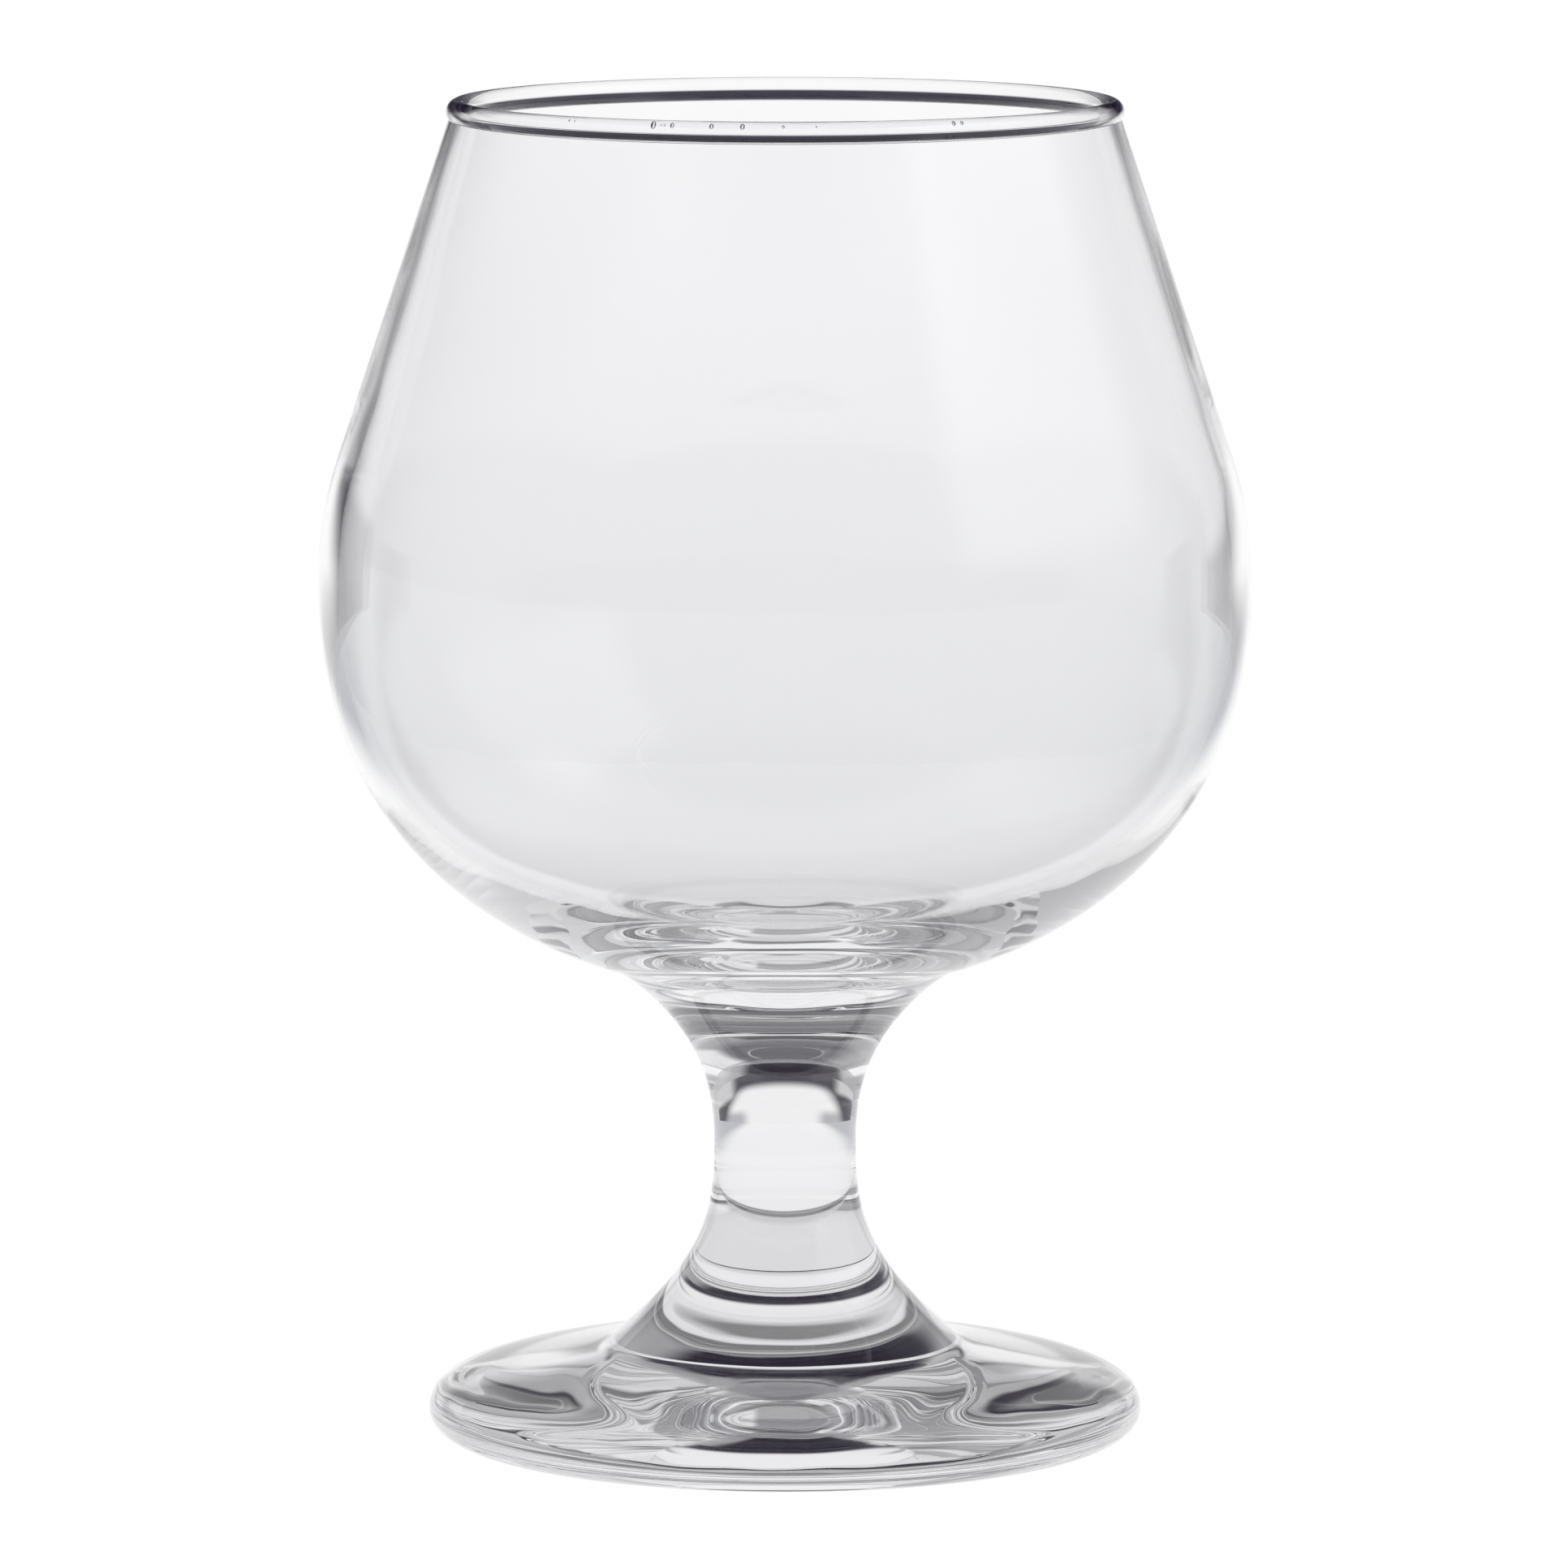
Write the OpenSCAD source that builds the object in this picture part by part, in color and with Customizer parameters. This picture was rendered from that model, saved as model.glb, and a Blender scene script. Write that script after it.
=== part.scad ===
// Brandy snifter: a clear blown bowl with a rolled rim, on a short solid stem and a round foot.
// The origin is on the table, on the axis that every piece turns about.

/* [Rim] */
// Rise from the bowl's widest line to the top of the rim
rim_rise = 46.1; // [42:0.1:50]
// Outside diameter of the rim
rim_d = 64.3; // [60:0.1:70]
// Thickness of the rolled bead
bead_d = 2.3; // [2:0.1:2.8]
// Height of the rim piece, from its seam with the bowl to the top
rim_h = 3.2; // [2.9:0.1:5]

/* [Bowl] */
// Outside diameter of the bowl at its widest
bowl_d = 89; // [84:0.5:96]
// Rise from the seam under the bowl to its widest line
belly_rise = 36.9; // [32:0.1:42]
// Radius of the shoulder that turns the belly into the straight upper wall
shoulder_r = 38.7; // [30:0.1:46]
// Wall thickness under the rim
rim_wall = 1.3; // [1:0.1:1.8]
// Wall thickness at the belly
belly_wall = 1.9; // [1.4:0.1:2.4]
// Thickness of the floor, from the seam under the bowl to the rim of the floor's dip
floor_t = 2; // [1.6:0.1:6]
// Depth of the soft dip in the middle of the floor
floor_dip = 0.5; // [0:0.1:0.8]
// Diameter of the dip
dip_d = 9.8; // [7:0.1:14]
// Diameter of the seam under the bowl
seat_d = 32.4; // [28:0.1:36]
// Slope of the bowl's underside where it meets the seam, in degrees
seat_slope = 17.5; // [12:0.5:24]

/* [Stem] */
// Diameter of the stem at its waist
waist_d = 13.6; // [11:0.1:16]
// Rise from the landing on the foot to the waist
waist_rise = 18.1; // [15:0.1:22]
// Rise from the waist to the seam under the bowl
flare_rise = 18.4; // [15:0.1:22]
// Slope of the flare under the bowl, in degrees
button_slope = 34.6; // [28:0.1:42]
// How far down the upper flare the weld lies
weld_share = 0.24; // [0.15:0.01:0.4]
// Slope of the flare where it lands on the foot, in degrees
landing_slope = 46.3; // [38:0.1:52]

/* [Foot] */
// Diameter of the foot
foot_d = 68.4; // [62:0.1:76]
// Height of the foot's widest line
foot_edge_h = 2.3; // [1.8:0.1:3]
// Height at which the stem lands on the foot
landing_h = 8.5; // [7.5:0.1:10]
// Diameter of the stem's landing on the foot
landing_d = 34.2; // [28:0.1:38]
// Slope of the foot's top beside the landing, in degrees
foot_slope = 13.9; // [8:0.1:20]
// How far the edge rolls in from the widest line to the ring that stands on the table
edge_roll = 2.7; // [1.5:0.1:3.4]
// Width of the ring that stands on the table
rest_w = 0.9; // [0.6:0.1:4]
// Height of the hollow under the foot, on the axis
hollow_h = 0.8; // [0.4:0.1:2]

/* [Hidden] */
glass_tint = [0.93, 0.95, 0.96, 0.35];
arc_steps = 16;
curve_steps = 36;
$fn = 96;

// How hard each curve is pulled along its end directions, as shares of its rise or of its reach
belly_pull_share = 0.786;
seat_pull_share = 0.145;
inner_belly_pull_share = 0.81;
inner_floor_pull_share = 0.485;
// The part of the inner curve, from the axis outwards, that is drawn finely because the dip lies on it
fine_floor_share = 0.12;
button_pull_share = 0.664;
upper_waist_pull_share = 0.207;
lower_waist_pull_share = 0.565;
landing_pull_share = 0.29;
foot_top_pull_share = 0.595;
foot_edge_pull_share = 0.68;
roll_pull_share = 0.5;
hollow_pull_share = 0.27;

// A smooth curve from a to b that leaves along one direction and arrives along another, from the share
// first to the share last of its way; its first point is left out, so that curves can follow each other
function pulled(a, b, leave, arrive, first, last) = [
    for (i = [1 : curve_steps])
        let (t = first + (last - first) * i / curve_steps, s = 1 - t)
        s ^ 3 * a + 3 * s ^ 2 * t * (a + leave) + 3 * s * t ^ 2 * (b - arrive) + t ^ 3 * b
];
function aimed(length, slope) = length * [cos(slope), sin(slope)];
function arc(centre, r, from, to) = [
    for (i = [0 : arc_steps]) centre + aimed(r, from + (to - from) * i / arc_steps)
];
// The angle on a circle where the straight line from a point above it touches its outer side
function touch_angle(centre, r, point) =
    let (to_point = point - centre)
    atan2(to_point[1], to_point[0]) - acos(r / norm(to_point));
// The point at height z on the line through p that leans inward by the angle lean
function on_wall(p, lean, z) = [p[0] + (p[1] - z) * tan(lean), z];

// Heights above the table, each stacked on the one below
waist_h = landing_h + waist_rise;
seat_h = waist_h + flare_rise;
belly_h = seat_h + belly_rise;
glass_h = belly_h + rim_rise;

// Rim and upper wall
bead_r = bead_d / 2;
bead_at = [rim_d / 2 - bead_r, glass_h - bead_r];
rim_seam_h = glass_h - rim_h;
shoulder_at = [bowl_d / 2 - shoulder_r, belly_h];
outer_top = bead_at + [rim_wall / 2, 0];
inner_top = bead_at - [rim_wall / 2, 0];
outer_lean = touch_angle(shoulder_at, shoulder_r, outer_top);
inner_lean = touch_angle(shoulder_at, shoulder_r - belly_wall, inner_top);
outer_seam = on_wall(outer_top, outer_lean, rim_seam_h);
inner_seam = on_wall(inner_top, inner_lean, rim_seam_h);

// Lower bowl
belly = [bowl_d / 2, belly_h];
inner_belly = belly - [belly_wall, 0];
seat = [seat_d / 2, seat_h];
floor_h = seat_h + floor_t;
outer_bowl = pulled(
    belly, seat,
    [0, -belly_pull_share * belly_rise],
    aimed(seat_pull_share * (belly[0] - seat[0]), 180 + seat_slope),
    0, 1
);
function inner_curve(first, last) = pulled(
    [0, floor_h], inner_belly,
    [inner_floor_pull_share * inner_belly[0], 0],
    [0, inner_belly_pull_share * (belly_h - floor_h)],
    first, last
);
// How far the dip lowers the floor at the distance r from the axis
function dip_at(r) = floor_dip * (1 + cos(180 * min(1, 2 * r / dip_d))) / 2;
inner_bowl = [
    for (p = concat([[0, floor_h]], inner_curve(0, fine_floor_share), inner_curve(fine_floor_share, 1)))
        p - [0, dip_at(p[0])]
];

// Flare under the bowl, one curve that the button and the stem share
waist = [waist_d / 2, waist_h];
upper_leave = aimed(button_pull_share * flare_rise, 180 + button_slope);
upper_arrive = [0, -upper_waist_pull_share * flare_rise];
button_side = pulled(seat, waist, upper_leave, upper_arrive, 0, weld_share);
stem_upper_side = pulled(seat, waist, upper_leave, upper_arrive, weld_share, 1);
weld = button_side[curve_steps - 1];

// Flare that lands on the foot
landing = [landing_d / 2, landing_h];
stem_lower_side = pulled(
    waist, landing,
    [0, -lower_waist_pull_share * waist_rise],
    aimed(landing_pull_share * waist_rise, -landing_slope),
    0, 1
);

// Foot
foot_edge = [foot_d / 2, foot_edge_h];
rest_outer = [foot_edge[0] - edge_roll, 0];
rest_inner = rest_outer - [rest_w, 0];
foot_top = pulled(
    landing, foot_edge,
    aimed(foot_top_pull_share * (foot_edge[0] - landing[0]), -foot_slope),
    [0, -foot_edge_pull_share * (landing_h - foot_edge_h)],
    0, 1
);
foot_roll = pulled(
    foot_edge, rest_outer,
    [0, -roll_pull_share * foot_edge_h],
    [-roll_pull_share * edge_roll, 0],
    0, 1
);
hollow = pulled(
    rest_inner, [0, hollow_h],
    [-hollow_pull_share * rest_inner[0], 0],
    [-hollow_pull_share * rest_inner[0], 0],
    0, 1
);

module turned(outline) {
    rotate_extrude() polygon(outline);
}

module rim_bead() {
    color(glass_tint) rotate_extrude() {
        translate(bead_at) circle(bead_r);
        polygon([inner_seam, outer_seam, outer_top, inner_top]);
    }
}

module bowl() {
    color(glass_tint) turned(concat(
        [inner_seam, outer_seam],
        arc(shoulder_at, shoulder_r, outer_lean, 0),
        outer_bowl,
        [[0, seat_h]],
        inner_bowl,
        arc(shoulder_at, shoulder_r - belly_wall, inner_lean / arc_steps, inner_lean)
    ));
}

module bowl_button() {
    color(glass_tint) turned(concat([[0, seat_h], seat], button_side, [[0, weld[1]]]));
}

module stem() {
    color(glass_tint) turned(concat(
        [[0, weld[1]], weld], stem_upper_side, stem_lower_side, [[0, landing_h]]
    ));
}

module foot() {
    color(glass_tint) turned(concat(
        [[0, landing_h], landing], foot_top, foot_roll, [rest_inner], hollow
    ));
}

rim_bead();
bowl();
bowl_button();
stem();
foot();
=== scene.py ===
"""Clear brandy snifter in plain studio light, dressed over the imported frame.

The glass is turned here once more with two soft corners and finer steps, because clear glass shows every facet.
Each solid of the frame has one piece that stands for it. Where two pieces meet, both have an unseen skin,
so that light passes from one to the other as it does in the real glass, which is fused there.
"""

import logging
import math
from collections.abc import Callable, Sequence
from dataclasses import dataclass, field
from enum import Enum

import bmesh
import bpy
from mathutils import Matrix, Vector


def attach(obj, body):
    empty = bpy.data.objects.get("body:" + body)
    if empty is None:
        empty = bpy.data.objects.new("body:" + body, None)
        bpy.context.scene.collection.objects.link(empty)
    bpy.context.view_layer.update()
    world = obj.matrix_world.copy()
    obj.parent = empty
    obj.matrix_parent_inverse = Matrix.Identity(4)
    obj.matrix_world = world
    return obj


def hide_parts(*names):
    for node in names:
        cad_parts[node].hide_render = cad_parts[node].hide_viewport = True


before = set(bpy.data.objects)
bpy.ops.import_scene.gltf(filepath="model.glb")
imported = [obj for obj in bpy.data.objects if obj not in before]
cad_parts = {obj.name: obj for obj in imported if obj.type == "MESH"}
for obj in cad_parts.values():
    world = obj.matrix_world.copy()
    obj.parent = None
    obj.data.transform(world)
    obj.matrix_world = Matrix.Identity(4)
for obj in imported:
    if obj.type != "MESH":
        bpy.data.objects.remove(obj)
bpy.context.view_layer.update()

logging.basicConfig(level=logging.INFO, format="%(message)s")
log = logging.getLogger("snifter")

# One millimetre in metres
MM = 0.001
# Steps of a whole turn, and the number of equal sectors that it is put together from
TURN_STEPS = 256
SECTORS = 8
# Points closer than this are one point, in metres in a mesh and in millimetres in an outline
MESH_GAP = 1e-7
OUTLINE_GAP = 1e-6
# How finely the wall of an air bubble is divided
BUBBLE_DIVISIONS = 3
# How often light may bounce on inside the glass
LIGHT_BOUNCES = 64
# The Mix node's sockets for its share, its two colours and its result
MIX_SHARE, MIX_START, MIX_END, MIX_RESULT = 0, 6, 7, 2

Colour = tuple[float, float, float]


class Skin(Enum):
    """What a stretch of a piece's surface is: polished glass, or the face it shares with the next piece."""

    GLASS = 0
    SEAM = 1


# Outline
def curve_point(a: Vector, b: Vector, leave: Vector, arrive: Vector, t: float) -> Vector:
    """The point at the share t of the smooth curve that pulled() samples."""
    s = 1 - t
    return s**3 * a + 3 * s * s * t * (a + leave) + 3 * s * t * t * (b - arrive) + t**3 * b


def pulled(a: Vector, b: Vector, leave: Vector, arrive: Vector, count: int) -> list[Vector]:
    """Samples a smooth curve that leaves a along one direction and arrives at b along another.

    Args:
        a: First point, as radius and height in millimetres.
        b: Last point.
        leave: How far and where the curve is pulled as it leaves a.
        arrive: How far and where it is pulled as it arrives at b.
        count: Number of points, with both ends.

    Returns:
        The points in order.
    """
    return [curve_point(a, b, leave, arrive, i / (count - 1)) for i in range(count)]


def aimed(length: float, slope: float) -> Vector:
    """A step of that length at that slope in degrees."""
    return Vector((length * math.cos(math.radians(slope)), length * math.sin(math.radians(slope))))


def arc(centre: Vector, radius: float, start: float, end: float, count: int) -> list[Vector]:
    """Points on a circle from one angle to another, in degrees."""
    return [centre + aimed(radius, start + (end - start) * i / (count - 1)) for i in range(count)]


def eased(a: Vector, b: Vector, count: int) -> list[Vector]:
    """Points on a straight line, closer together towards its ends, so that smooth shading settles fast there."""
    shares = [0.5 - 0.5 * math.cos(math.pi * i / (count - 1)) for i in range(count)]
    return [a.lerp(b, 0.5 - 0.5 * math.cos(math.pi * share)) for share in shares]


def touch_angle(centre: Vector, radius: float, point: Vector) -> float:
    """The angle in degrees where the line from a point above a circle touches the circle's outer side."""
    away = point - centre
    return math.degrees(math.atan2(away.y, away.x) - math.acos(radius / away.length))


def joined(*runs: Sequence[Vector]) -> list[Vector]:
    """Puts runs of points end to end.

    Args:
        *runs: The runs in order.

    Returns:
        One run, in which a point that two neighbours share stands once.
    """
    points = list(runs[0])
    for run in runs[1:]:
        points += run[1:] if (run[0] - points[-1]).length < OUTLINE_GAP else run
    return points


def softened(points: Sequence[Vector], corner: Vector, reach: float, count: int = 13) -> list[Vector]:
    """Rounds one corner of an outline.

    Args:
        points: The outline.
        corner: The corner's place.
        reach: How far from the corner the rounding starts and ends, in millimetres.
        count: Number of points on the rounding; odd, so that one lies at its middle.

    Returns:
        The outline with the corner replaced by a curve.
    """
    at = min(range(len(points)), key=lambda i: (points[i] - corner).length)
    first = last = at
    while (points[first] - corner).length < reach:
        first -= 1
    while (points[last] - corner).length < reach:
        last += 1
    a, c = points[first], points[last]
    curve = []
    for i in range(count):
        t = i / (count - 1)
        curve.append((1 - t) ** 2 * a + 2 * (1 - t) * t * corner + t * t * c)
    return [*points[:first], *curve, *points[last + 1:]]


def split(points: Sequence[Vector], place: Vector) -> tuple[list[Vector], list[Vector]]:
    """Cuts an outline in two at its point nearest to a place; both parts keep that point."""
    at = min(range(len(points)), key=lambda i: (points[i] - place).length)
    return list(points[: at + 1]), list(points[at:])


@dataclass(frozen=True)
class PointCounts:
    """How many points each stretch of the turned outline gets, with both its ends.

    Attributes:
        hollow: The hollow under the foot.
        edge_roll: The foot's edge below its widest line.
        foot_top: The foot's top.
        landing: The stem's flare on the foot.
        flare: The flare under the bowl.
        underside: The bowl's underside up to its widest line.
        shoulder: The shoulder, on either side of the wall.
        wall: The straight upper wall, on either side.
        bead: The rolled bead.
        floor: The bowl's inside below its widest line.
    """

    hollow: int = 40
    edge_roll: int = 16
    foot_top: int = 48
    landing: int = 48
    flare: int = 64
    underside: int = 72
    shoulder: int = 14
    wall: int = 28
    bead: int = 44
    floor: int = 96


@dataclass(frozen=True)
class GlassOutline:
    """Every size of the turned outline in millimetres, under the names that the part's source uses.

    The sizes that end in pull say how hard a curve is pulled at one of its ends, as a share of its rise or reach.

    Attributes:
        rim_rise: Rise from the bowl's widest line to the top of the rim.
        rim_d: Outside diameter of the rim.
        bead_d: Thickness of the rolled bead.
        rim_h: Height of the rim piece, from its seam with the bowl to the top.
        bowl_d: Outside diameter of the bowl at its widest.
        belly_rise: Rise from the seam under the bowl to its widest line.
        shoulder_r: Radius of the shoulder between the belly and the straight upper wall.
        rim_wall: Wall thickness under the rim.
        belly_wall: Wall thickness at the belly.
        floor_t: Thickness of the bowl's floor beside its dip.
        floor_dip: Depth of the soft dip in the middle of the floor.
        dip_d: Diameter of the dip.
        seat_d: Diameter of the seam under the bowl.
        seat_slope: Slope of the bowl's underside at that seam, in degrees.
        waist_d: Diameter of the stem at its waist.
        waist_rise: Rise from the landing on the foot to the waist.
        flare_rise: Rise from the waist to the seam under the bowl.
        button_slope: Slope of the flare under the bowl, in degrees.
        weld_share: How far down that flare the weld lies.
        landing_slope: Slope of the flare where it lands on the foot, in degrees.
        foot_d: Diameter of the foot.
        foot_edge_h: Height of the foot's widest line.
        landing_h: Height at which the stem lands on the foot.
        landing_d: Diameter of the stem's landing on the foot.
        foot_slope: Slope of the foot's top beside the landing, in degrees.
        edge_roll: How far the edge rolls in from the widest line to the ring that stands on the table.
        rest_w: Width of the ring that stands on the table.
        hollow_h: Height of the hollow under the foot, on the axis.
        belly_pull: The bowl's underside, at its widest line.
        seat_pull: The bowl's underside, at the seam under it.
        inner_belly_pull: The bowl's inside, at its widest line.
        inner_floor_pull: The bowl's inside, at the middle of the floor.
        button_pull: The flare under the bowl, at the seam.
        upper_waist_pull: The flare under the bowl, at the waist.
        lower_waist_pull: The flare on the foot, at the waist.
        landing_pull: The flare on the foot, at the landing.
        foot_top_pull: The foot's top, at the landing.
        foot_edge_pull: The foot's top, at its widest line.
        roll_pull: The rolled edge, at both ends.
        hollow_pull: The hollow under the foot, at both ends.
        seat_softness: How far from the seam under the bowl its corner is rounded.
        landing_softness: How far from the landing its corner is rounded.
        counts: How many points each stretch gets.
    """

    rim_rise: float = 46.1
    rim_d: float = 64.3
    bead_d: float = 2.3
    rim_h: float = 3.2
    bowl_d: float = 89.0
    belly_rise: float = 36.9
    shoulder_r: float = 38.7
    rim_wall: float = 1.3
    belly_wall: float = 1.9
    floor_t: float = 2.0
    floor_dip: float = 0.5
    dip_d: float = 9.8
    seat_d: float = 32.4
    seat_slope: float = 17.5
    waist_d: float = 13.6
    waist_rise: float = 18.1
    flare_rise: float = 18.4
    button_slope: float = 34.6
    weld_share: float = 0.24
    landing_slope: float = 46.3
    foot_d: float = 68.4
    foot_edge_h: float = 2.3
    landing_h: float = 8.5
    landing_d: float = 34.2
    foot_slope: float = 13.9
    edge_roll: float = 2.7
    rest_w: float = 0.9
    hollow_h: float = 0.8
    belly_pull: float = 0.786
    seat_pull: float = 0.145
    inner_belly_pull: float = 0.81
    inner_floor_pull: float = 0.485
    button_pull: float = 0.664
    upper_waist_pull: float = 0.207
    lower_waist_pull: float = 0.565
    landing_pull: float = 0.29
    foot_top_pull: float = 0.595
    foot_edge_pull: float = 0.68
    roll_pull: float = 0.5
    hollow_pull: float = 0.27
    seat_softness: float = 1.5
    landing_softness: float = 1.0
    counts: PointCounts = PointCounts()

    @property
    def waist_h(self) -> float:
        """Height of the waist."""
        return self.landing_h + self.waist_rise

    @property
    def seat_h(self) -> float:
        """Height of the seam under the bowl."""
        return self.waist_h + self.flare_rise

    @property
    def belly_h(self) -> float:
        """Height of the bowl's widest line."""
        return self.seat_h + self.belly_rise

    @property
    def glass_h(self) -> float:
        """Height of the whole glass."""
        return self.belly_h + self.rim_rise

    @property
    def edge_at(self) -> Vector:
        """The foot's widest line."""
        return Vector((self.foot_d / 2, self.foot_edge_h))

    @property
    def landing_at(self) -> Vector:
        """Where the stem lands on the foot."""
        return Vector((self.landing_d / 2, self.landing_h))

    @property
    def waist_at(self) -> Vector:
        """The stem's waist."""
        return Vector((self.waist_d / 2, self.waist_h))

    @property
    def weld_at(self) -> Vector:
        """Where the button and the stem meet, on the flare that they share."""
        return curve_point(*self.flare(), 1 - self.weld_share)

    @property
    def seat_at(self) -> Vector:
        """The seam under the bowl."""
        return Vector((self.seat_d / 2, self.seat_h))

    @property
    def belly_at(self) -> Vector:
        """The bowl's widest line."""
        return Vector((self.bowl_d / 2, self.belly_h))

    @property
    def bead_at(self) -> Vector:
        """Centre of the rolled bead."""
        return Vector((self.rim_d / 2 - self.bead_d / 2, self.glass_h - self.bead_d / 2))

    @property
    def shoulder_at(self) -> Vector:
        """Centre of the shoulder's circle."""
        return Vector((self.bowl_d / 2 - self.shoulder_r, self.belly_h))

    def wall(self, side: int) -> tuple[float, Vector, Vector, float]:
        """Works out one side of the straight upper wall.

        Args:
            side: 1 for the outer side, -1 for the inner side.

        Returns:
            The lean in degrees, the point where the wall leaves the shoulder, the point where it meets the
            bead, and that point's angle on the bead in degrees.
        """
        radius = self.shoulder_r - (self.belly_wall if side < 0 else 0)
        top = self.bead_at + Vector((side * self.rim_wall / 2, 0))
        lean = touch_angle(self.shoulder_at, radius, top)
        down = aimed(1, lean - 90)
        away = top - self.bead_at
        run = -away.dot(down) + math.sqrt(away.dot(down) ** 2 - away.length_squared + (self.bead_d / 2) ** 2)
        meet = top + run * down
        turn = meet - self.bead_at
        return lean, self.shoulder_at + aimed(radius, lean), meet, math.degrees(math.atan2(turn.y, turn.x))

    def under_foot(self) -> list[Vector]:
        """Draws what is under the foot's widest line.

        Returns:
            The hollow, the ring that stands on the table and the rolled edge, from the axis outwards.
        """
        edge = self.edge_at
        rest = Vector((edge.x - self.edge_roll, 0))
        ring = rest - Vector((self.rest_w, 0))
        pull = Vector((self.hollow_pull * ring.x, 0))
        return joined(
            pulled(Vector((0, self.hollow_h)), ring, pull, pull, self.counts.hollow),
            [ring, rest],
            pulled(rest, edge, Vector((self.roll_pull * self.edge_roll, 0)),
                   Vector((0, self.roll_pull * self.foot_edge_h)), self.counts.edge_roll),
        )

    def flare(self) -> tuple[Vector, Vector, Vector, Vector]:
        """The flare under the bowl, as its two ends and how it is pulled at them."""
        leave = Vector((0, self.upper_waist_pull * self.flare_rise))
        return self.waist_at, self.seat_at, leave, aimed(self.button_pull * self.flare_rise, self.button_slope)

    def side(self) -> list[Vector]:
        """Draws the outer side, with its two inner corners soft.

        Returns:
            The points from the foot's widest line up to the bead.
        """
        edge, landing, waist, seat, belly = self.edge_at, self.landing_at, self.waist_at, self.seat_at, self.belly_at
        lean, shoulder_end, meet, _ = self.wall(1)
        line = joined(
            pulled(edge, landing, Vector((0, self.foot_edge_pull * (landing.y - edge.y))),
                   aimed(self.foot_top_pull * (edge.x - landing.x), 180 - self.foot_slope), self.counts.foot_top),
            pulled(landing, waist, aimed(self.landing_pull * self.waist_rise, 180 - self.landing_slope),
                   Vector((0, self.lower_waist_pull * self.waist_rise)), self.counts.landing),
            pulled(*self.flare(), self.counts.flare),
            pulled(seat, belly, aimed(self.seat_pull * (belly.x - seat.x), self.seat_slope),
                   Vector((0, self.belly_pull * self.belly_rise)), self.counts.underside),
            arc(self.shoulder_at, self.shoulder_r, 0, lean, self.counts.shoulder),
            eased(shoulder_end, meet, self.counts.wall),
        )
        line = softened(line, seat, self.seat_softness)
        return softened(line, landing, self.landing_softness)

    def bead(self) -> list[Vector]:
        """The rolled bead from the outer wall over the top to the inner wall."""
        outer, inner = self.wall(1)[3], self.wall(-1)[3]
        return arc(self.bead_at, self.bead_d / 2, outer, inner + (360 if inner < outer else 0), self.counts.bead)

    def inside(self) -> list[Vector]:
        """Draws the inner side.

        Returns:
            The points from the bead down to the middle of the floor.
        """
        lean, shoulder_end, meet, _ = self.wall(-1)
        belly = Vector((self.bowl_d / 2 - self.belly_wall, self.belly_h))
        floor = Vector((0, self.seat_h + self.floor_t))
        bottom = pulled(belly, floor, Vector((0, -self.inner_belly_pull * (belly.y - floor.y))),
                        Vector((-self.inner_floor_pull * belly.x, 0)), self.counts.floor)
        return joined(
            eased(meet, shoulder_end, self.counts.wall),
            arc(self.shoulder_at, self.shoulder_r - self.belly_wall, lean, 0, self.counts.shoulder),
            [point - Vector((0, self.dip_at(point.x))) for point in bottom],
        )

    def dip_at(self, radius: float) -> float:
        """How deep the soft dip in the middle of the bowl's floor is at a radius."""
        return self.floor_dip * (1 + math.cos(math.pi * min(1.0, 2 * radius / self.dip_d))) / 2


# Shading
class Value:
    """A socket of a shader graph that can be used in sums."""

    def __init__(self, graph: "Graph", socket: bpy.types.NodeSocket) -> None:
        """Keeps the socket and the graph that it is in."""
        self.graph, self.socket = graph, socket

    def math(self, operation: str, *others: "Value | float") -> "Value":
        """Puts this value and others through one Math node."""
        return self.graph.add("ShaderNodeMath", {"operation": operation}, dict(enumerate((self, *others))))

    def __add__(self, other: "Value | float") -> "Value":
        """This value plus another."""
        return self.math("ADD", other)

    def __sub__(self, other: "Value | float") -> "Value":
        """This value less another."""
        return self.math("SUBTRACT", other)

    def __mul__(self, other: "Value | float") -> "Value":
        """This value times another."""
        return self.math("MULTIPLY", other)

    def __truediv__(self, other: "Value | float") -> "Value":
        """This value divided by another."""
        return self.math("DIVIDE", other)

    def __radd__(self, other: float) -> "Value":
        """A number plus this value."""
        return self + other

    def __rsub__(self, other: float) -> "Value":
        """A number less this value."""
        return self * -1 + other

    def __rmul__(self, other: float) -> "Value":
        """A number times this value."""
        return self * other

    def __rtruediv__(self, other: float) -> "Value":
        """A number divided by this value."""
        return self.math("POWER", -1) * other

    def __abs__(self) -> "Value":
        """This value without its sign."""
        return self.math("ABSOLUTE")

    def rising(self, start: float, end: float) -> "Value":
        """0 below start, 1 above end and smooth between them."""
        return self.graph.add("ShaderNodeMapRange", {"interpolation_type": "SMOOTHSTEP"},
                              {"Value": self, "From Min": start, "From Max": end})

    def falling(self, start: float, end: float) -> "Value":
        """1 below start, 0 above end and smooth between them."""
        return 1 - self.rising(start, end)

    def along(self, start: float, end: float) -> "Value":
        """0 below start, 1 above end and straight between them."""
        return self.graph.add("ShaderNodeMapRange", inputs={"Value": self, "From Min": start, "From Max": end})

    def toward(self, goal: "Value | float", share: "Value") -> "Value":
        """Goes from this value to a goal by a share."""
        return self + (goal - self) * share


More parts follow.
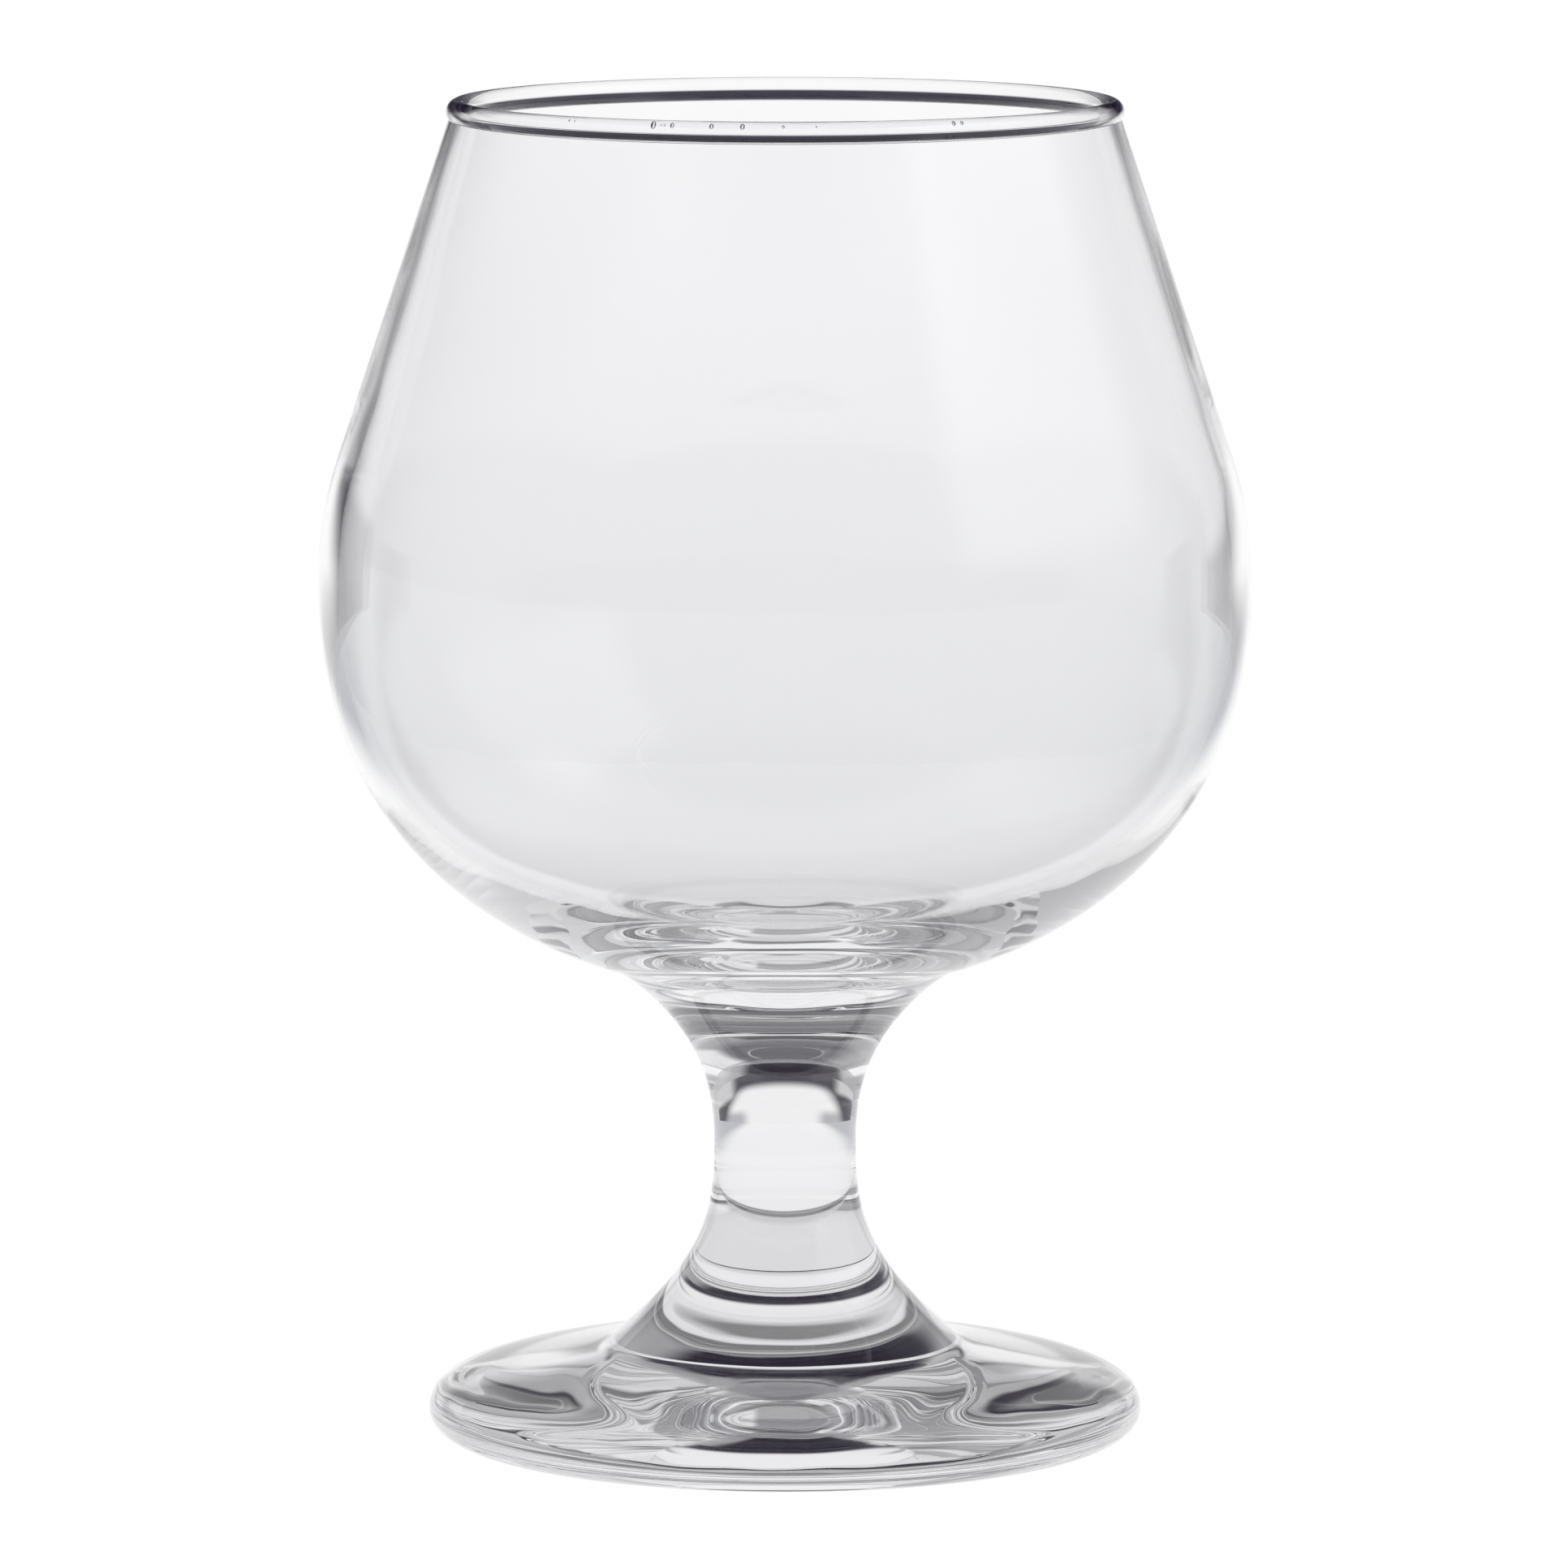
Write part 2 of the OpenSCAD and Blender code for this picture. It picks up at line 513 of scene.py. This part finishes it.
class Graph:
    """The nodes of one material or world."""

    def __init__(self, tree: bpy.types.NodeTree) -> None:
        """Keeps the node tree."""
        self.tree = tree

    def add(self, kind: str, settings: dict[str, object] | None = None,
            inputs: dict[str | int, Value | float | tuple] | None = None,
            output: str | int = 0) -> Value:
        """Adds one node.

        Args:
            kind: The node's type.
            settings: Its properties.
            inputs: Values for its sockets, by name or number.
            output: The socket to hand back.

        Returns:
            The chosen output.
        """
        node = self.tree.nodes.new(kind)
        for name, setting in (settings or {}).items():
            setattr(node, name, setting)
        for name, value in (inputs or {}).items():
            self.feed(node.inputs[name], value)
        return Value(self, node.outputs[output])

    def feed(self, socket: bpy.types.NodeSocket, value: Value | float | tuple) -> None:
        """Links a value to a socket, or sets a plain number or colour there.

        Args:
            socket: The input socket.
            value: What it gets.
        """
        if isinstance(value, Value):
            self.tree.links.new(value.socket, socket)
        else:
            socket.default_value = value

    def blend(self, share: Value, start: Value | Colour, end: Value | Colour) -> Value:
        """Mixes two colours.

        Args:
            share: How far the result is on the way from start to end.
            start: The colour at 0.
            end: The colour at 1.

        Returns:
            The colour in between.
        """
        first, last = (colour if isinstance(colour, Value) else (*colour, 1) for colour in (start, end))
        return self.add("ShaderNodeMix", {"data_type": "RGBA"},
                        {MIX_SHARE: share, MIX_START: first, MIX_END: last}, MIX_RESULT)

    def axes(self, coordinates: str) -> tuple[Value, Value, Value]:
        """Takes a place apart.

        Args:
            coordinates: The output of the Texture Coordinate node that gives the place.

        Returns:
            The place along X, Y and Z.
        """
        place = self.add("ShaderNodeTexCoord", output=coordinates)
        node = self.add("ShaderNodeSeparateXYZ", inputs={"Vector": place}).socket.node
        x, y, z = (Value(self, socket) for socket in node.outputs)
        return x, y, z


def new_material(name: str) -> tuple[bpy.types.Material, Graph, bpy.types.NodeInputs]:
    """Starts a material.

    Args:
        name: Its name.

    Returns:
        The material, its graph and the inputs of its shader.
    """
    material = bpy.data.materials.new(name)
    material.use_nodes = True
    return material, Graph(material.node_tree), material.node_tree.nodes["Principled BSDF"].inputs


@dataclass(frozen=True)
class ClearGlass:
    """Clear colourless soda-lime glass, polished smooth by the flame and a little wavy.

    Attributes:
        foot_tint: What the thick glass at the table lets through.
        floor_tint: What the bowl's floor lets through.
        rim_tint: What the thin glass at the rim lets through.
        floor_height: The height of the bowl's floor in metres.
        rim_height: The height of the rim.
        ior: Refractive index.
        wave_size: Size of the broad waves that blowing and pressing leave, in metres.
        wave_depth: Their depth in metres.
        foot_wave_depth: Their depth in the pressed foot.
        foot_wave_height: Where the foot's depth starts and stops giving way to the other, upwards.
        wave_detail: How many finer layers the waves have.
        wave_roughness: How much of the finer layers is seen.
        ring_size: Rise from one faint turning mark to the next.
        ring_depth: Depth of those marks.
        ring_detail: How many finer layers the marks have.
    """

    foot_tint: Colour = (0.842, 0.84, 0.856)
    floor_tint: Colour = (0.904, 0.905, 0.914)
    rim_tint: Colour = (0.989, 0.989, 0.995)
    floor_height: float = 0.05
    rim_height: float = 0.128
    ior: float = 1.52
    wave_size: float = 0.011
    wave_depth: float = 0.00005
    foot_wave_depth: float = 0.00015
    foot_wave_height: tuple[float, float] = (0.004, 0.012)
    wave_detail: float = 1.0
    wave_roughness: float = 0.35
    ring_size: float = 0.004
    ring_depth: float = 0.0000015
    ring_detail: float = 1.0

    def make(self) -> bpy.types.Material:
        """Builds the material.

        Returns:
            The material.
        """
        material, graph, shader = new_material("clear_glass")
        _, _, height = graph.axes("Object")
        thick = graph.blend(height.along(0, self.floor_height), self.foot_tint, self.floor_tint)
        tint = graph.blend(height.along(self.floor_height, self.rim_height), thick, self.rim_tint)
        graph.feed(shader["Base Color"], tint)
        shader["Roughness"].default_value = 0
        shader["IOR"].default_value = self.ior
        shader["Transmission Weight"].default_value = 1
        bump = {"Height": self.relief(graph, height), "Distance": 1.0, "Strength": 1.0}
        graph.feed(shader["Normal"], graph.add("ShaderNodeBump", inputs=bump))
        return material

    def relief(self, graph: Graph, height: Value) -> Value:
        """Puts the waves and the turning marks together.

        Args:
            graph: The material's nodes.
            height: The height of a point.

        Returns:
            How far the surface stands out, in metres.
        """
        place = graph.add("ShaderNodeTexCoord", output="Object")
        waves = graph.add("ShaderNodeTexNoise", {"noise_dimensions": "3D"}, {
            "Vector": place, "Scale": 1 / self.wave_size, "Detail": self.wave_detail,
            "Roughness": self.wave_roughness})
        rings = graph.add("ShaderNodeTexNoise", {"noise_dimensions": "1D"},
                          {"W": height * (1 / self.ring_size), "Scale": 1.0, "Detail": self.ring_detail})
        in_foot = height.falling(*self.foot_wave_height)
        depth = self.wave_depth + (self.foot_wave_depth - self.wave_depth) * in_foot
        return waves * depth + rings * self.ring_depth


@dataclass(frozen=True)
class FusedSeam:
    """The face where two pieces are fused: there is nothing to see."""

    def make(self) -> bpy.types.Material:
        """Builds the material.

        Returns:
            The material.
        """
        material, _, shader = new_material("fused_seam")
        shader["Alpha"].default_value = 0
        return material


# Pieces
@dataclass(frozen=True)
class Seed:
    """A tiny air bubble in the rim.

    Attributes:
        heading: Where it lies round the rim in degrees, 0 at the front and growing to the right.
        radius: Half its width in millimetres.
        stretch: How much taller than wide it is.
    """

    heading: float
    radius: float
    stretch: float = 1.05

    def blow(self, bm: bmesh.types.BMesh, ring: Vector) -> None:
        """Makes the bubble's wall, which faces the air inside it.

        Args:
            bm: The piece that holds it.
            ring: Radius and height of the circle that it lies on, in millimetres.
        """
        turn = Matrix.Rotation(math.radians(self.heading), 4, "Z")
        place = turn @ Matrix.Translation((0, -ring.x * MM, ring.y * MM))
        size = Matrix.Diagonal((1, 1, self.stretch, 1))
        known = set(bm.faces)
        bmesh.ops.create_icosphere(bm, subdivisions=BUBBLE_DIVISIONS, radius=self.radius * MM, matrix=place @ size)
        bmesh.ops.reverse_faces(bm, faces=[face for face in bm.faces if face not in known])


@dataclass
class TurnedPiece:
    """One closed piece of glass that stands for one node of the frame.

    Attributes:
        node: The node's name.
        runs: Its outline all round, as runs of points with their skins.
        seeds: Small air bubbles shut in the glass.
        seed_ring: Radius and height of the circle that the bubbles lie on, in millimetres.
    """

    node: str
    runs: list[tuple[Skin, list[Vector]]]
    seeds: Sequence[Seed] = ()
    seed_ring: Vector = field(default_factory=lambda: Vector((0, 0)))

    def turn(self) -> bmesh.types.BMesh:
        """Turns the outline, closes it and blows the air bubbles.

        Returns:
            The closed mesh, in metres.
        """
        bm = bmesh.new()
        for skin, points in self.runs:
            made = len(bm.faces)
            ring = [bm.verts.new((p.x * MM, 0, p.y * MM)) for p in points]
            run = [bm.edges.new(pair) for pair in zip(ring, ring[1:])]
            bmesh.ops.spin(bm, geom=ring + run, cent=(0, 0, 0), axis=(0, 0, 1), angle=math.tau / SECTORS,
                           steps=TURN_STEPS // SECTORS)
            bm.faces.ensure_lookup_table()
            for face in bm.faces[made:]:
                face.material_index = skin.value
        sector = bm.verts[:] + bm.edges[:] + bm.faces[:]
        for i in range(1, SECTORS):
            copy = bmesh.ops.duplicate(bm, geom=sector)["geom"]
            bmesh.ops.rotate(bm, verts=[v for v in copy if isinstance(v, bmesh.types.BMVert)],
                             cent=(0, 0, 0), matrix=Matrix.Rotation(i * math.tau / SECTORS, 3, "Z"))
        bmesh.ops.remove_doubles(bm, verts=bm.verts, dist=MESH_GAP)
        bmesh.ops.recalc_face_normals(bm, faces=bm.faces)
        for seed in self.seeds:
            seed.blow(bm, self.seed_ring)
        return bm

    def build(self, skins: dict[Skin, bpy.types.Material]) -> bpy.types.Object:
        """Makes the piece, dresses it and puts it on the frame.

        Args:
            skins: The material of each skin.

        Returns:
            The finished object.
        """
        bm = self.turn()
        for face in bm.faces:
            face.smooth = True
        for edge in bm.edges:
            if len({face.material_index for face in edge.link_faces}) > 1:
                edge.smooth = False
        mesh = bpy.data.meshes.new(self.node)
        bm.to_mesh(mesh)
        bm.free()
        for skin in Skin:
            mesh.materials.append(skins[skin])
        piece = bpy.data.objects.new(f"{self.node}_glass", mesh)
        bpy.context.scene.collection.objects.link(piece)
        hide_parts(self.node)
        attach(piece, "root")
        return piece


@dataclass
class Snifter:
    """The whole glass as five fused pieces.

    Attributes:
        outline: The sizes of its outline.
        finish: The polished glass.
        seam: The faces that the pieces share.
        seeds: The air bubbles in the rim.
        seed_rise: How far above the middle of the bead the bubbles lie, in millimetres.
    """

    outline: GlassOutline = field(default_factory=GlassOutline)
    finish: ClearGlass = field(default_factory=ClearGlass)
    seam: FusedSeam = field(default_factory=FusedSeam)
    seeds: tuple[Seed, ...] = (
        Seed(-39.6, 0.09), Seed(-38.4, 0.07), Seed(-22.8, 0.25, 1.2), Seed(-21.4, 0.07), Seed(-20.8, 0.08),
        Seed(-19.4, 0.19), Seed(-12.5, 0.2), Seed(-7.2, 0.22), Seed(-0.3, 0.12), Seed(5.3, 0.08),
        Seed(29.8, 0.18), Seed(31.4, 0.15),
    )
    seed_rise: float = 0.45

    def pieces(self) -> list[TurnedPiece]:
        """Cuts the outline into the five pieces.

        Returns:
            The pieces from the foot to the rim.
        """
        o, disc = self.outline, self.disc
        foot_top, rest = split(o.side(), o.landing_at)
        stem, rest = split(rest, o.weld_at)
        button, rest = split(rest, o.seat_at)
        rim_seam = o.glass_h - o.rim_h
        bowl_side, rim_side = split(rest, self.at_height(rest, rim_seam))
        inside = o.inside()
        rim_inside, bowl_inside = split(inside, self.at_height(inside, rim_seam))
        return [
            TurnedPiece("foot", [(Skin.GLASS, joined(o.under_foot(), foot_top)), disc(foot_top[-1], False)]),
            TurnedPiece("stem", [disc(stem[0], True), (Skin.GLASS, stem), disc(stem[-1], False)]),
            TurnedPiece("bowl_button", [disc(button[0], True), (Skin.GLASS, button), disc(button[-1], False)]),
            TurnedPiece("bowl", [disc(bowl_side[0], True), (Skin.GLASS, bowl_side),
                                 (Skin.SEAM, [bowl_side[-1], bowl_inside[0]]), (Skin.GLASS, bowl_inside)]),
            TurnedPiece("rim_bead", [(Skin.GLASS, joined(rim_side, o.bead(), rim_inside)),
                                     (Skin.SEAM, [rim_inside[-1], rim_side[0]])],
                        self.seeds, o.bead_at + Vector((0, self.seed_rise))),
        ]

    @staticmethod
    def disc(edge: Vector, outwards: bool) -> tuple[Skin, list[Vector]]:
        """The flat seam from the axis to an edge point, or back."""
        line = [Vector((0, edge.y)), edge]
        return Skin.SEAM, line if outwards else line[::-1]

    @staticmethod
    def at_height(points: Sequence[Vector], height: float) -> Vector:
        """Finds where a run passes a height.

        Args:
            points: The run; its point nearest to that height is moved there along the run.
            height: The height in millimetres.

        Returns:
            The moved point.
        """
        for a, b in zip(points, points[1:]):
            if (a.y - height) * (b.y - height) <= 0 and a.y != b.y:
                nearer = a if abs(a.y - height) < abs(b.y - height) else b
                on_line = a.lerp(b, (height - a.y) / (b.y - a.y))
                nearer.x, nearer.y = on_line
                return nearer
        raise ValueError(f"no point at height {height}")

    def build(self) -> list[bpy.types.Object]:
        """Builds all the pieces."""
        skins = {Skin.GLASS: self.finish.make(), Skin.SEAM: self.seam.make()}
        return [piece.build(skins) for piece in self.pieces()]


# Studio
@dataclass(frozen=True)
class Camera:
    """The photograph's camera: a long lens from a little above the rim.

    Attributes:
        place: Where it stands, in metres.
        tilt: How far it looks down, in degrees.
        lens: Focal length in millimetres.
        sensor: Width of the picture behind the lens, in millimetres.
        clip: The nearest and the farthest that it sees, in metres.
    """

    place: tuple[float, float, float] = (-0.0001, -1.050, 0.199888)
    tilt: float = 7.453
    lens: float = 254.63
    sensor: float = 36.0
    clip: tuple[float, float] = (0.05, 50.0)

    def place_camera(self) -> bpy.types.Object:
        """Makes the camera and hands it to the scene.

        Returns:
            The camera.
        """
        data = bpy.data.cameras.new("camera")
        data.sensor_width, data.lens = self.sensor, self.lens
        data.clip_start, data.clip_end = self.clip
        camera = bpy.data.objects.new("camera", data)
        camera.location = self.place
        camera.rotation_euler = (math.radians(90 - self.tilt), 0, 0)
        bpy.context.scene.collection.objects.link(camera)
        bpy.context.scene.camera = camera
        return camera


@dataclass(frozen=True)
class RoomZone:
    """One soft-edged part of the room, seen from the glass.

    Attributes:
        name: What is there.
        level: How bright it is, where 1 is paper white.
        heading: Its middle in degrees, 0 behind the glass and growing to the right.
        half_width: Half its width in degrees.
        bottom: Its lower edge in degrees above the horizon.
        top: Its upper edge.
        side_blur: How soft its sides are, in degrees.
        end_blur: How soft its lower and upper edges are.
    """

    name: str
    level: float
    heading: float
    half_width: float
    bottom: float
    top: float
    side_blur: float
    end_blur: float

    def share(self, heading: Value, height: Value) -> Value:
        """Works out how much of this zone is seen in a direction.

        Args:
            heading: The direction's heading in degrees.
            height: Its height above the horizon in degrees.

        Returns:
            0 outside the zone and 1 inside it.
        """
        away = abs((heading - self.heading).math("WRAP", 180, -180))
        side, end = self.side_blur / 2, self.end_blur / 2
        inside = away.falling(self.half_width - side, self.half_width + side)
        above = height.rising(self.bottom - end, self.bottom + end)
        return inside * above * height.falling(self.top - end, self.top + end)


@dataclass(frozen=True)
class Room:
    """A dim room with a soft window on the right; it is darkest above the card behind the glass.

    Attributes:
        wall_level: How bright the walls are.
        ceiling_level: How bright the ceiling is.
        ceiling_from: Where the walls start to turn into the ceiling, in degrees above the horizon.
        ceiling_to: Where the ceiling is reached.
        zones: The parts that differ, each laid over the ones before it.
        shade: The colour of what has no light.
        light: The colour of paper white.
    """

    wall_level: float = 0.38
    ceiling_level: float = 0.12
    ceiling_from: float = 42.0
    ceiling_to: float = 64.0
    zones: tuple[RoomZone, ...] = (
        RoomZone("left wall", 0.42, -70, 36, -12, 30, 16, 16),
        RoomZone("right wall", 0.58, 70, 34, -12, 34, 16, 16),
        RoomZone("window", 0.95, 104, 30, 10, 52, 14, 12),
        RoomZone("dark above the card", 0.0, -6, 29, -12, 50, 10, 4),
    )
    shade: Colour = (0.008, 0.004, 0.018)
    light: Colour = (1.0, 1.0, 1.01)

    def surround(self) -> None:
        """Makes the world that the glass mirrors and bends."""
        world = bpy.data.worlds.new("room")
        world.use_nodes = True
        graph = Graph(world.node_tree)
        x, y, z = graph.axes("Generated")
        heading = x.math("ARCTAN2", y) * math.degrees(1)
        height = z.math("ARCSINE") * math.degrees(1)
        upwards = height.rising(self.ceiling_from, self.ceiling_to)
        level = self.wall_level + (self.ceiling_level - self.wall_level) * upwards
        for zone in self.zones:
            level = level.toward(zone.level, zone.share(heading, height))
            log.info("room: %s at %.2f", zone.name, zone.level)
        colour = graph.blend(level, self.shade, self.light)
        graph.feed(world.node_tree.nodes["Background"].inputs["Color"], colour)
        bpy.context.scene.world = world


def glowing_paper(name: str, paint: Callable[[Graph], Value], albedo: float) -> bpy.types.Material:
    """Builds the finish of paper that glows as if lit from behind, as on a light table: its colour is painted light,
    not light from a lamp.

    Args:
        name: The material's name.
        paint: Puts the paper's glow, which is painted light, together in a graph.
        albedo: How much of the room's light it throws back.

    Returns:
        The material.
    """
    material, graph, shader = new_material(name)
    shader["Base Color"].default_value = (albedo, albedo, albedo, 1)
    shader["Specular IOR Level"].default_value = 0
    # Painted light: the paper glows with the colour that paint puts together, though it is no lamp.
    shader["Emission Strength"].default_value = 1
    graph.feed(shader["Emission Color"], paint(graph))
    return material


def stage_piece(name: str, bm: bmesh.types.BMesh, finish: bpy.types.Material) -> bpy.types.Object:
    """Makes one part of the stage from its mesh.

    Args:
        name: Its name.
        bm: Its mesh, which is used up.
        finish: Its material.

    Returns:
        The finished object.
    """
    mesh = bpy.data.meshes.new(name)
    bm.to_mesh(mesh)
    bm.free()
    mesh.materials.append(finish)
    piece = bpy.data.objects.new(name, mesh)
    bpy.context.scene.collection.objects.link(piece)
    return piece


@dataclass(frozen=True)
class Floor:
    """A pale floor that glows: painted light, white where the camera looks and greyer beside it, with painted shade
    round the foot.

    Attributes:
        radius: Its radius in metres.
        segments: Number of straight stretches round it.
        white: Its glow in the pool of painted light where the camera looks.
        grey: Its dimmer glow outside that pool.
        front: Where the white starts in front of the glass, and how softly.
        lens_share: Half the width of the photograph, as a share of the distance from its camera.
        camera_y: Where that camera stands.
        half_width: Half the white's width beside the glass.
        spread: How fast it widens behind the glass.
        blur: How soft its sides are.
        under_foot_shade_level: How bright the painted shade on the floor under the foot is.
        under_foot_shade_r: Where that painted shade ends, and how softly.
        contact_shadow_level: How bright the painted contact shadow is where the foot stands on the floor.
        contact_shadow_r: Where that painted shadow ring ends, and how softly.
        shade_levels: How bright the shade behind the foot's edge is, in its dark and in its light rings.
        shade_r: Where the shade ends, and how softly.
        shade_y: How far behind the foot's middle the shade's middle lies.
        ring_size: How wide the light rings are that the foot throws there.
        ring_turns: How often they change on the way round.
        ring_detail: How many finer layers they have.
        ring_roughness: How much of the finer layers is seen.
        ring_edges: Where they start and stop getting brighter.
        albedo: How much of the room's light the floor throws back.
    """

    radius: float = 4.5
    segments: int = 96
    white: Colour = (1.0, 1.0, 1.0)
    grey: Colour = (0.545, 0.555, 0.585)
    front: tuple[float, float] = (-0.1, -0.07)
    lens_share: float = 0.0725
    camera_y: float = -1.05
    half_width: float = 0.078
    spread: float = 0.12
    blur: float = 0.08
    under_foot_shade_level: float = 0.86
    under_foot_shade_r: tuple[float, float] = (0.026, 0.028)
    contact_shadow_level: float = 0.2
    contact_shadow_r: tuple[float, float] = (0.0302, 0.0312)
    shade_levels: tuple[float, float] = (0.22, 0.9)
    shade_r: tuple[float, float] = (0.031, 0.0345)
    shade_y: float = 0.0055
    ring_size: float = 0.0012
    ring_turns: float = 1.3
    ring_detail: float = 1.5
    ring_roughness: float = 0.4
    ring_edges: tuple[float, float] = (0.36, 0.62)
    albedo: float = 0.04

    def lay(self) -> bpy.types.Object:
        """Makes the floor.

        Returns:
            The floor.
        """
        bm = bmesh.new()
        bmesh.ops.create_circle(bm, cap_ends=True, radius=self.radius, segments=self.segments)
        return stage_piece("floor", bm, glowing_paper("floor", self.paint, self.albedo))

    def paint(self, graph: Graph) -> Value:
        """Puts the floor's glow together: the pool of painted light, the painted shade round the foot and its
        painted rings of light.

        Args:
            graph: The material's nodes.

        Returns:
            The colour.
        """
        x, y, _ = graph.axes("Object")
        # Painted light: the floor glows white in a soft-edged pool where the camera looks, and greyer outside it.
        seen = (y - self.camera_y) * self.lens_share
        edge = seen.math("MAXIMUM", y * self.spread + self.half_width)
        painted_light_pool = (abs(x) - edge).falling(0, self.blur) * y.rising(*self.front)
        # Painted shadow behind the foot's edge, broken by painted rings of light.
        behind = y - self.shade_y
        shade = (x * x + behind * behind).math("SQRT").falling(*self.shade_r)
        out = (x * x + y * y).math("SQRT")
        colour = graph.blend(shade, graph.blend(painted_light_pool, self.grey, self.white), self.light_rings(graph, x, y, out))
        # Painted shadows: a dark contact ring where the foot stands, and a dimmer floor under the foot.
        for level, share in (
            (self.contact_shadow_level, out.falling(*self.contact_shadow_r)),
            (self.under_foot_shade_level, out.falling(*self.under_foot_shade_r)),
        ):
            colour = graph.blend(share, colour, (level, level, level))
        return colour

    def light_rings(self, graph: Graph, x: Value, y: Value, out: Value) -> Value:
        """Draws the broken rings of light that the foot throws on the floor behind it.

        Args:
            graph: The material's nodes.
            x: The place along X.
            y: The place along Y.
            out: The distance from the glass's axis.

        Returns:
            How bright the shade is.
        """
        polar = graph.add("ShaderNodeCombineXYZ", inputs={
            "X": x / out * self.ring_turns, "Y": y / out * self.ring_turns, "Z": out * (1 / self.ring_size)})
        noise = graph.add("ShaderNodeTexNoise", {"noise_dimensions": "3D"}, {
            "Vector": polar, "Scale": 1.0, "Detail": self.ring_detail, "Roughness": self.ring_roughness})
        dark, bright = self.shade_levels
        return noise.rising(*self.ring_edges) * (bright - dark) + dark


@dataclass(frozen=True)
class Backdrop:
    """A paper card behind the glass that glows: painted light, bright in its middle; only the glass sees it.

    Attributes:
        distance: How far behind the glass it stands, in metres.
        half_width: Half its width.
        height: Its height.
        bright_side: Where its bright part starts and stops fading beside the middle, at the floor.
        aside: How far right of the glass the middle of the bright part is.
        narrowing: How much narrower the bright part gets with each metre of height.
        bright_top: Where the bright part starts and stops fading upwards.
        low_level: How bright the bottom of the card is at its sides.
        low_side: Where that starts beside the middle.
        low_top: How high it reaches.
        wall_side: Where the walls start beside it.
        wall_top: Where the walls start above its dark sides.
        wall_tilt: How much lower the wall on the right starts with each metre to the right.
        wall_level: How bright the walls are there.
        shade: The colour of its dark sides.
        light: The colour of its bright part.
    """

    distance: float = 0.4
    half_width: float = 0.6
    height: float = 0.2
    bright_side: tuple[float, float] = (0.29, 0.44)
    aside: float = 0.012
    narrowing: float = 1.5
    bright_top: tuple[float, float] = (0.1, 0.15)
    low_level: float = 0.5
    low_side: tuple[float, float] = (0.12, 0.2)
    low_top: tuple[float, float] = (0.015, 0.05)
    wall_side: tuple[float, float] = (0.19, 0.29)
    wall_top: tuple[float, float] = (0.085, 0.125)
    wall_tilt: float = 0.05
    wall_level: float = 0.66
    shade: Colour = (0.03, 0.024, 0.042)
    light: Colour = (1.0, 1.0, 1.0)

    def stand(self) -> bpy.types.Object:
        """Makes the card.

        Returns:
            The card.
        """
        bm = bmesh.new()
        upright = Matrix.Rotation(math.pi / 2, 4, "X") @ Matrix.Diagonal((2 * self.half_width, self.height, 1, 1))
        place = Matrix.Translation((0, self.distance, self.height / 2))
        bmesh.ops.create_grid(bm, x_segments=1, y_segments=1, size=0.5, matrix=place @ upright)
        card = stage_piece("backdrop", bm, glowing_paper("backdrop", self.paint, 0))
        card.visible_camera = False
        return card

    def paint(self, graph: Graph) -> Value:
        """Puts the card's glow, its painted light, together.

        Args:
            graph: The material's nodes.

        Returns:
            The colour.
        """
        x, _, z = graph.axes("Object")
        beside = abs(x - self.aside)
        # Painted light: the card glows bright in its middle, darker at its sides and along its bottom beside the
        # middle, with the walls' brightness painted on its upper sides.
        bright = (beside + z * self.narrowing).falling(*self.bright_side) * z.falling(*self.bright_top)
        bright = bright * (1 - beside.rising(*self.low_side) * z.falling(*self.low_top) * (1 - self.low_level))
        wall = abs(x).rising(*self.wall_side) * (z + x * self.wall_tilt).rising(*self.wall_top)
        return graph.blend((wall * self.wall_level).math("MAXIMUM", bright), self.shade, self.light)


def set_light_paths() -> None:
    """Lets light bounce on inside thick glass, and shows its levels as they are."""
    cycles = bpy.context.scene.cycles
    cycles.max_bounces = cycles.transmission_bounces = cycles.glossy_bounces = LIGHT_BOUNCES
    cycles.transparent_max_bounces = LIGHT_BOUNCES
    bpy.context.scene.view_settings.view_transform = "Standard"


def main() -> None:
    """Builds the glass and the studio."""
    for piece in Snifter().build():
        log.info("%s: %d faces", piece.name, len(piece.data.polygons))
    for part in (Floor().lay(), Backdrop().stand()):
        log.info("stage: %s", part.name)
    Room().surround()
    set_light_paths()
    Camera().place_camera()
    bpy.context.view_layer.update()


if __name__ == "__main__":
    main()
